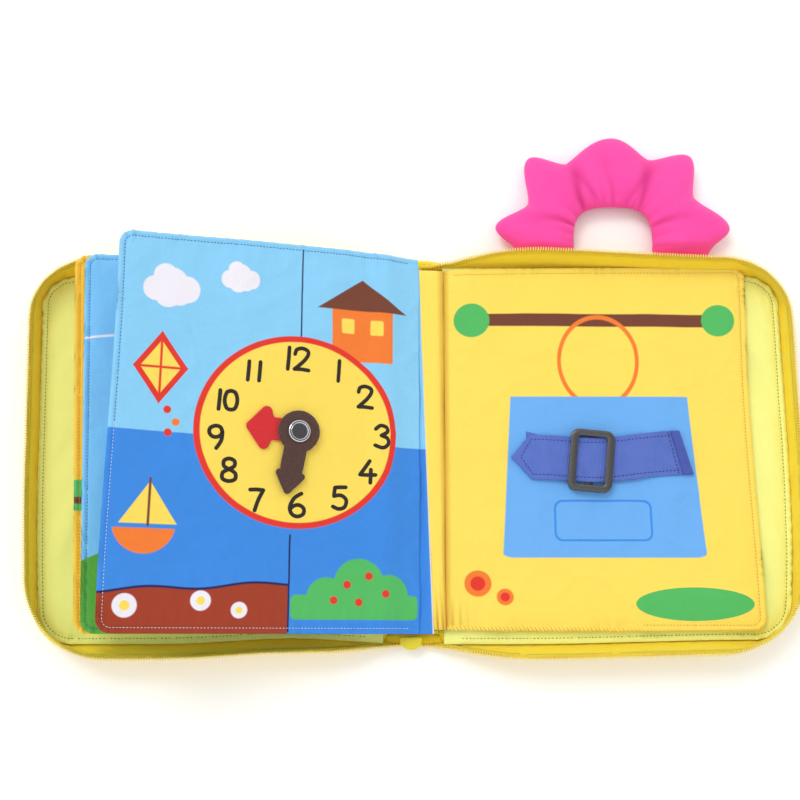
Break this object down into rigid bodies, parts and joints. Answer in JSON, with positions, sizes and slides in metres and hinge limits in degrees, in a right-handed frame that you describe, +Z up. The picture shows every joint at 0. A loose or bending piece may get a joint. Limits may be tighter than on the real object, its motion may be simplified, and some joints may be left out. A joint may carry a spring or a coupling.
{
  "type": "crinkle cloth book",
  "caption": "Soft cloth book lying open in its zip-round padded case, with crinkle leaves, a toy clock, a belt with a slide buckle and a stuffed sun-ray carry handle.",
  "frame": {"origin": "middle of the spine's underside, on the surface that the open book lies on", "axes": "+X from the spine towards the back cover's fore edge, +Y towards the head of the book, +Z up"},
  "size_m": [0.463, 0.33, 0.078],
  "materials": {
    "case_cloth": "woven yellow polyester",
    "lime_cloth": "padded lime lining cloth",
    "foam_board": "white felted foam board",
    "page_yellow": "printed cloth, warm yellow",
    "page_sky": "printed cloth, sky blue",
    "page_blue": "printed cloth, light blue",
    "page_orange": "printed cloth, orange yellow",
    "film": "thin crinkle film",
    "handle_pink": "stuffed pink cloth",
    "felt_brown": "brown felt",
    "felt_red": "red felt",
    "belt_webbing": "ribbed blue webbing",
    "buckle_plastic": "dark grey moulded plastic",
    "rivet_metal": "polished metal",
    "zip_tape": "woven zip tape",
    "zip_plastic": "yellow nylon zip coil"
  },
  "bodies": {
    "back_cover": {"back_cover_cloth": "case_cloth", "back_cover_foam": "foam_board", "back_lining": "lime_cloth", "back_gusset": "case_cloth", "back_zip_tape": "zip_tape", "back_zip_coil": "zip_plastic"},
    "spine": {"spine_cloth": "case_cloth", "spine_foam": "foam_board", "leaf_binding": "page_yellow", "clock_leaf_tuck": "page_sky", "spine_end_head": "case_cloth", "spine_end_foot": "case_cloth", "zip_chain_start": "zip_plastic"},
    "front_cover": {"front_cover_cloth": "case_cloth", "front_cover_foam": "foam_board", "front_lining": "lime_cloth", "front_gusset": "case_cloth", "front_zip_tape": "zip_tape", "front_zip_coil": "zip_plastic"},
    "third_leaf": {"third_leaf_front_cloth": "page_orange", "third_leaf_crinkle_film": "film", "third_leaf_back_cloth": "page_orange"},
    "second_leaf": {"second_leaf_front_cloth": "page_blue", "second_leaf_crinkle_film": "film", "second_leaf_back_cloth": "page_blue"},
    "clock_hem": {"clock_leaf_hem": "page_sky"},
    "clock_leaf": {"clock_leaf_front_cloth": "page_sky", "clock_leaf_crinkle_film": "film", "clock_leaf_back_cloth": "page_sky", "rivet_cap": "rivet_metal", "rivet_shank": "rivet_metal", "rivet_washer": "rivet_metal"},
    "hour_hand": {"hour_hand": "felt_red"},
    "minute_hand": {"minute_hand": "felt_brown"},
    "buckle_hem": {"buckle_leaf_hem": "page_yellow"},
    "buckle_leaf": {"buckle_leaf_front_cloth": "page_yellow", "buckle_leaf_crinkle_film": "film", "buckle_leaf_back_cloth": "page_yellow", "belt_strap": "belt_webbing", "belt_seam_strip": "belt_webbing", "belt_under_strap": "belt_webbing"},
    "belt_buckle": {"belt_buckle": "buckle_plastic"},
    "carry_handle": {"carry_handle": "handle_pink"},
    "zip_slider": {"zip_slider": "zip_plastic"},
    "zip_pull": {"zip_pull": "zip_plastic"}
  },
  "joints": [
    {"name": "back_crease", "type": "hinge", "parent": "back_cover", "child": "spine", "pos_m": [0.024, 0, 0.001], "axis": [0, 1, 0], "range_deg": [0, 90]},
    {"name": "front_crease", "type": "hinge", "parent": "spine", "child": "front_cover", "pos_m": [-0.024, 0, 0.001], "axis": [0, 1, 0], "range_deg": [0, 90]},
    {"name": "third_leaf_seam", "type": "hinge", "parent": "spine", "child": "third_leaf", "pos_m": [-0.0135, 0, 0.0073], "axis": [0, 1, 0], "range_deg": [0, 81]},
    {"name": "second_leaf_seam", "type": "hinge", "parent": "spine", "child": "second_leaf", "pos_m": [-0.009, 0, 0.01], "axis": [0, 1, 0], "range_deg": [0, 81]},
    {"name": "clock_hem_seam", "type": "hinge", "parent": "spine", "child": "clock_hem", "pos_m": [0.0035, 0, 0.011], "axis": [0, 1, 0], "range_deg": [0, 66.6]},
    {"name": "clock_leaf_turn", "type": "hinge", "parent": "clock_hem", "child": "clock_leaf", "pos_m": [0.0035, 0, 0.011], "axis": [0, -1, 0], "range_deg": [-150, 0]},
    {"name": "hour_hand_turn", "type": "hinge", "parent": "clock_leaf", "child": "hour_hand", "pos_m": [-0.06764, 0.0035, 0.03689], "axis": [0.342, 0, 0.9397], "continuous": true},
    {"name": "minute_hand_turn", "type": "hinge", "parent": "clock_leaf", "child": "minute_hand", "pos_m": [-0.06764, 0.0035, 0.03689], "axis": [0.342, 0, 0.9397], "continuous": true},
    {"name": "buckle_hem_seam", "type": "hinge", "parent": "spine", "child": "buckle_hem", "pos_m": [0.014, 0, 0.0085], "axis": [0, -1, 0], "range_deg": [0, 90]},
    {"name": "buckle_leaf_turn", "type": "hinge", "parent": "buckle_hem", "child": "buckle_leaf", "pos_m": [0.014, 0, 0.0085], "axis": [0, 1, 0], "range_deg": [-135, 0]},
    {"name": "buckle_slide", "type": "slide", "parent": "buckle_leaf", "child": "belt_buckle", "axis": [0.9997, 0.0262, 0], "range_m": [-0.0025, 0.011]},
    {"name": "handle_flop", "type": "hinge", "parent": "back_cover", "child": "carry_handle", "pos_m": [0.1253, 0.1154, 0.0034], "axis": [1, 0, 0], "range_deg": [-30, 12]},
    {"name": "slider_run", "type": "slide", "parent": "spine", "child": "zip_slider", "axis": [0, -1, 0], "range_m": [-0.001, 0.0028]},
    {"name": "pull_lift", "type": "hinge", "parent": "zip_slider", "child": "zip_pull", "pos_m": [-0.0015, -0.1136, 0.0081], "axis": [-1, 0, 0], "range_deg": [0, 85]}
  ],
  "couplings": [
    {"joint": "front_crease", "follows": "back_crease", "ratio": 1},
    {"joint": "third_leaf_seam", "follows": "back_crease", "ratio": 0.9},
    {"joint": "second_leaf_seam", "follows": "back_crease", "ratio": 0.9},
    {"joint": "clock_hem_seam", "follows": "back_crease", "ratio": 0.74},
    {"joint": "buckle_hem_seam", "follows": "back_crease", "ratio": 1}
  ]
}
